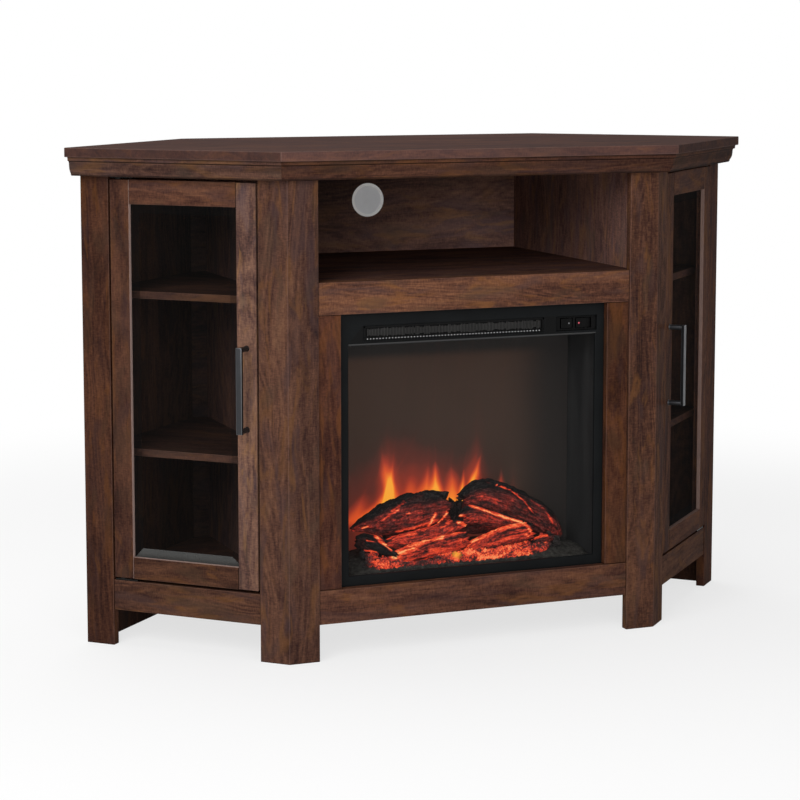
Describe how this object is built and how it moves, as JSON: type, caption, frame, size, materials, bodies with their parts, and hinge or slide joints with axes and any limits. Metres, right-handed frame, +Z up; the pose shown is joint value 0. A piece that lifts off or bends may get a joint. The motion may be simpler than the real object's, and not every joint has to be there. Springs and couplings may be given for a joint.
{
  "type": "corner fireplace tv stand",
  "caption": "Corner TV stand with a hexagonal top, an open media bay, an electric fireplace insert and glazed side cabinets with pivoting doors.",
  "frame": {"origin": "on the floor, under the middle of the bounding box", "axes": "+X to the right seen from the front, +Y towards the rear corner, +Z up"},
  "size_m": [1.2192, 0.5436, 0.805],
  "materials": {
    "walnut_face": "dark walnut woodgrain laminate, satin",
    "walnut_top": "dark walnut woodgrain laminate, satin sheen",
    "walnut_panel": "dark walnut woodgrain laminate, satin",
    "cabinet_glass": "clear bevelled",
    "firebox_glass": "lightly smoked",
    "gunmetal": "gunmetal",
    "nickel": "nickel plated",
    "bezel_black": "satin black powder coat",
    "gloss_black": "gloss",
    "moulded_black": "fine matt",
    "casing_steel": "matt black",
    "bright_trim": "satin",
    "flame_screen": "diffusing film",
    "log_resin": "moulded charred bark",
    "ember_resin": "moulded, lit from below",
    "foil": "mirror foil"
  },
  "bodies": {
    "carcass": {"top_panel": "walnut_top", "cornice_front": "walnut_face", "cornice_left": "walnut_face", "cornice_right": "walnut_face", "front_post_left": "walnut_face", "front_post_right": "walnut_face", "outer_post_left": "walnut_face", "outer_post_right": "walnut_face", "rear_side_panel_left": "walnut_panel", "rear_side_panel_right": "walnut_panel", "back_panel": "walnut_panel", "floor_panel": "walnut_panel", "divider_left": "walnut_panel", "divider_right": "walnut_panel", "media_shelf": "walnut_panel", "media_rail": "walnut_face", "lower_rail": "walnut_face", "fire_stile_left": "walnut_face", "fire_stile_right": "walnut_face", "skirt_left": "walnut_face", "skirt_right": "walnut_face", "shelf_left_lower": "walnut_panel", "shelf_left_upper": "walnut_panel", "shelf_right_lower": "walnut_panel", "shelf_right_upper": "walnut_panel", "pivot_hinge_left_lower": "nickel", "pivot_hinge_left_upper": "nickel", "pivot_hinge_right_lower": "nickel", "pivot_hinge_right_upper": "nickel", "magnetic_catch_left": "nickel", "magnetic_catch_right": "nickel", "bezel": "bezel_black", "header_trim": "bright_trim", "vent_grille": "moulded_black", "control_plate": "gloss_black", "firebox_casing": "casing_steel", "firebox_glass": "firebox_glass", "flame_screen": "flame_screen", "log_set": "log_resin", "ember_bed": "ember_resin", "flicker_motor": "nickel", "heater_housing": "casing_steel", "heater_element": "nickel", "cord_inlet": "moulded_black"},
    "left_door": {"door_left_hinge_stile": "walnut_face", "door_left_lock_stile": "walnut_face", "door_left_upper_rail": "walnut_face", "door_left_lower_rail": "walnut_face", "door_left_glass": "cabinet_glass", "door_left_handle": "gunmetal"},
    "right_door": {"door_right_hinge_stile": "walnut_face", "door_right_lock_stile": "walnut_face", "door_right_upper_rail": "walnut_face", "door_right_lower_rail": "walnut_face", "door_right_glass": "cabinet_glass", "door_right_handle": "gunmetal"},
    "heat_switch": {"heat_rocker": "gloss_black"},
    "power_switch": {"power_rocker": "gloss_black"},
    "flicker_spindle": {"flicker_rod": "foil"},
    "blower": {"blower_wheel": "moulded_black"}
  },
  "joints": [
    {"name": "left_door_pivot", "type": "hinge", "parent": "carcass", "child": "left_door", "pos_m": [-0.52759, -0.02509, 0.434], "axis": [0, 0, -1], "range_deg": [0, 110]},
    {"name": "right_door_pivot", "type": "hinge", "parent": "carcass", "child": "right_door", "pos_m": [0.52759, -0.02509, 0.434], "axis": [0, 0, 1], "range_deg": [0, 110]},
    {"name": "heat_rocker_tilt", "type": "hinge", "parent": "carcass", "child": "heat_switch", "pos_m": [0.19595, -0.2206, 0.5157], "axis": [0, 0, -1], "range_deg": [0, 16]},
    {"name": "power_rocker_tilt", "type": "hinge", "parent": "carcass", "child": "power_switch", "pos_m": [0.16545, -0.2206, 0.5157], "axis": [0, 0, -1], "range_deg": [0, 16]},
    {"name": "flicker_spin", "type": "hinge", "parent": "carcass", "child": "flicker_spindle", "pos_m": [0, -0.06755, 0.1639], "axis": [1, 0, 0], "continuous": true},
    {"name": "blower_spin", "type": "hinge", "parent": "carcass", "child": "blower", "pos_m": [0, -0.16054, 0.52095], "axis": [1, 0, 0], "continuous": true}
  ]
}
